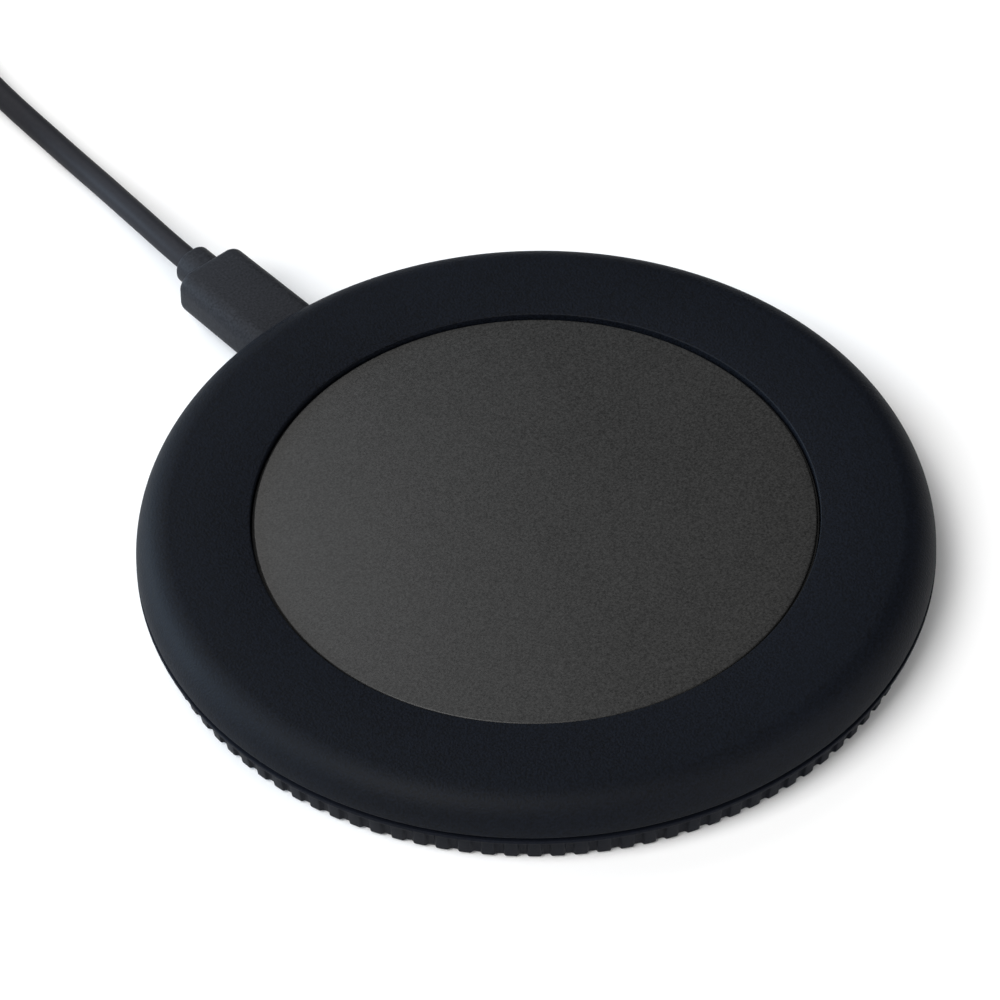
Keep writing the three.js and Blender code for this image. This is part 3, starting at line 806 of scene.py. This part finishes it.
carrier_plastic = matte("carrier_plastic", tone(0.62, 0.61, 0.58), 0.5, 0.4, 0.6, 0.006, 0.02)
ferrite_sheet = matte("ferrite_sheet", grey(0.05), 0.6, 0.4, 0.35, 0.012)
fired_ceramic = matte("fired_ceramic", tone(0.42, 0.31, 0.2), 0.55, 0.4, 0.3, 0.006)

# %% [markdown]
# The plate's ledge gets painted shade, a darker colour for the shade that falls in the narrow gap, and a
# duller roughness, so that the gap round the plate reads as one line. The height of a point tells the ledge
# from the face.

# %% Paint shade on the ledge
height = plate_plastic.node("SeparateXYZ", None, {"Vector": plate_plastic.at}, output=2)
on_face = height.above((LEDGE[1] + 0.1) * MM)
# painted shade: the ledge's colour is darker than the face's and stands for the shade in the gap
LEDGE_PAINTED_SHADE = grey(0.007)
LEDGE_DULLNESS = 0.5
plate_plastic.surface(
    Base_Color=plate_plastic.mixed(on_face, LEDGE_PAINTED_SHADE, plate_plastic.colour),
    Roughness=(1 - on_face) * LEDGE_DULLNESS + plate_plastic.roughness,
)
print("dark below", LEDGE[1] + 0.1, "mm")

# %% [markdown]
# # Metals
# The screws and shells are plated steel. Plating is bright but never a mirror: fine rolling lines blur it.
# The winding is copper wire, so its flat ring is striped with circles a wire's width apart.

# %% Make the metal finishes
LINE_WIDTH = 0.12
plating = Finish("nickel_plating", Metallic=1.0)
lines = plating.grain(LINE_WIDTH, 1, at=plating.weighted(1, 0.06, 1))
plating.surface(
    Base_Color=plating.mixed(lines, grey(0.5), grey(0.62)),
    Roughness=lines * 0.16 + 0.22,
)
plating.relief(lines, 0.002)

WIRE_PITCH = 0.75
winding = Finish("winding_copper", Metallic=1.0)
flat_at = winding.weighted(1, 1, 0)
from_axis = winding.node("VectorMath", {"operation": "LENGTH"}, {0: flat_at}, output="Value")
wire = (from_axis * (2 * pi / (WIRE_PITCH * MM))).sine() * 0.5 + 0.5
winding.surface(
    Base_Color=winding.mixed(wire, tone(0.3, 0.11, 0.05), tone(0.82, 0.42, 0.24)),
    Roughness=0.45 - wire * 0.15,
)
winding.relief(wire, 0.12)

# %% [markdown]
# # Board and band
# The circuit board is green solder mask with darker tracks under it. The band round the coil is woven: two
# sets of threads cross, and the pattern is turned to lie along the band.

# %% Make the board and the woven band
CELL_SIZE = 1 / 260  # in metres
TRACK_SHARE = 0.06
board = Finish("solder_mask", Coat_Roughness=0.2)
cell_inputs = {"Vector": board.at, "Scale": 1 / CELL_SIZE}
cells = board.node("TexVoronoi", {"feature": "DISTANCE_TO_EDGE"}, cell_inputs)
tracks = cells.above(TRACK_SHARE)
board.surface(
    Base_Color=board.mixed(tracks, tone(0.03, 0.2, 0.08), tone(0.012, 0.1, 0.04)),
    Roughness=board.grain(2.0) * 0.2 + 0.25,
    Coat_Weight=tracks * 0.3,
)
board.relief(tracks, 0.03)

THREAD_STEP = 0.5
thread_turn = 2 * pi / (THREAD_STEP * MM)
band = Finish("woven_band", Specular_IOR_Level=0.3)
along = band.node("Mapping", None, {"Vector": band.at, "Rotation": (0, 0, -TIE_ANGLE)})
parts = band.node("SeparateXYZ", None, {"Vector": along})
threads = [Level(band, socket) for socket in parts.socket.node.outputs]
warp = (threads[1] * thread_turn).sine()
weft = ((threads[0] + threads[2]) * thread_turn).sine()
weave = warp * weft * 0.5 + 0.5
band.surface(
    Base_Color=band.mixed(weave, grey(0.008), grey(0.03)),
    Roughness=weave * 0.2 + 0.6,
)
band.relief(weave, 0.08)

# %% [markdown]
# # Dress the pieces
# Every fine piece gets its finish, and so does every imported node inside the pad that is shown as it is.

# %% Dress every piece
finishes = {
    silicone: [pieces["silicone_skin"]],
    plate_plastic: [pieces["charcoal_plate"]],
    housing_plastic: [pieces["ribbed_base"], nodes["upper_housing"]],
    plug_plastic: [pieces[name] for name in ("plug_grip", "cord_collar", "far_plug_grip", "far_plug_neck")],
    cord_jacket: [cord],
    foot_rubber: [pieces["rubber_foot"]],
    chip_case: [
        *(nodes[name] for name in ("controller_chip", "bridge_chip_1", "bridge_chip_2")),
        *(nodes[name] for name in ("power_inductor", "thermistor")),
    ],
    contact_block: [nodes[name] for name in ("plug_insulator", "receptacle_insulator", "far_plug_insulator")],
    carrier_plastic: [nodes["coil_carrier"]],
    ferrite_sheet: [nodes["ferrite_shield"]],
    fired_ceramic: [nodes["input_capacitor"], *(nodes[f"resonant_capacitor_{i}"] for i in range(1, 5))],
    plating: [
        *(pieces[name] for name in ("plug_tip", "socket", "far_plug_tip")),
        *(pieces[f"cross_head_screw_{i}"] for i in range(1, 5)),
    ],
    winding: [nodes[name] for name in ("transmit_coil", "coil_lead_inner", "coil_lead_outer")],
    board: [nodes["circuit_board"]],
    band: [pieces["cord_band"]],
}
for finish, things in finishes.items():
    dress(finish, *things)
    print(finish.material.name, "on", len(things), "pieces")

# %% [markdown]
# # Floor and light
# A plain pale floor and large soft lights keep the attention on the pad. The floor is far larger than the
# pad, so that it has no edge in view, and a faint even sky fills the shadows.

# %% Lay the floor and the sky
FLOOR_HALF = 20  # metres
WORLD_STRENGTH = 0.01
floor_mesh = bmesh.new()
bmesh.ops.create_grid(floor_mesh, x_segments=1, y_segments=1, size=FLOOR_HALF)
floor = loose_object("studio_floor", floor_mesh)
floor_paint = Finish("floor_paint", Base_Color=grey(0.9), Roughness=0.9, Specular_IOR_Level=0.1)
dress(floor_paint, floor)

world = bpy.data.worlds.new("studio")
world.use_nodes = True
sky = world.node_tree.nodes["Background"].inputs
sky["Color"].default_value = grey(1)
sky["Strength"].default_value = WORLD_STRENGTH
bpy.context.scene.world = world
bpy.context.scene.view_settings.view_transform = "Standard"
print("floor", 2 * FLOOR_HALF, "m wide, sky strength", WORLD_STRENGTH)

# %% [markdown]
# A dark, matte object shows its shape through the reflections of the lights, so each light has a job. The
# two in front light the whole pad and throw the soft shadow to the right. The low one on the left skims the
# shoulder, the plug and the cord, and is a little cool, so that their edges turn a blue grey. The low one on
# the right keeps that side's ribs from going black, and the small one behind on the left draws the plate's
# slow fall of light.

# %% Hang the lights
COOL = (0.63, 0.81, 1)
WHITE = (1, 1, 1)
SOFTBOXES = [  # name, turn and rise in degrees, distance and size in metres, power in watts, colour
    ("front", 0, 60, 1.6, (1.2, 1.2), 6.5, WHITE),
    ("front_left", 45, 50, 1.5, (1, 1), 24, WHITE),
    ("left_low", 110, 12, 1.2, (0.8, 0.3), 14.8, COOL),
    ("right_low", -60, 18, 1, (0.6, 0.4), 4.3, WHITE),
    ("left_back", 145, 42, 0.6, (0.35, 0.5), 1.3, WHITE),
]


def softbox(name, turn, rise, distance, size, power, colour):
    """An area light that faces the pad. Turn 0 is the camera's side, and positive turns go to its left."""
    light = bpy.data.lights.new(name, "AREA")
    light.shape = "RECTANGLE"
    light.size, light.size_y = size
    light.energy = power
    light.color = colour
    lamp = bpy.data.objects.new(name, light)
    bpy.context.scene.collection.objects.link(lamp)
    lamp.matrix_world = (
        Matrix.Rotation(VIEW_TURN - radians(turn), 4, "Z")
        @ Matrix.Rotation(pi / 2 - radians(rise), 4, "X")
        @ Matrix.Translation((0, 0, distance))
    )
    print(f"{name}: {power} W, turned {turn} and raised {rise} degrees")


for facts in SOFTBOXES:
    softbox(*facts)
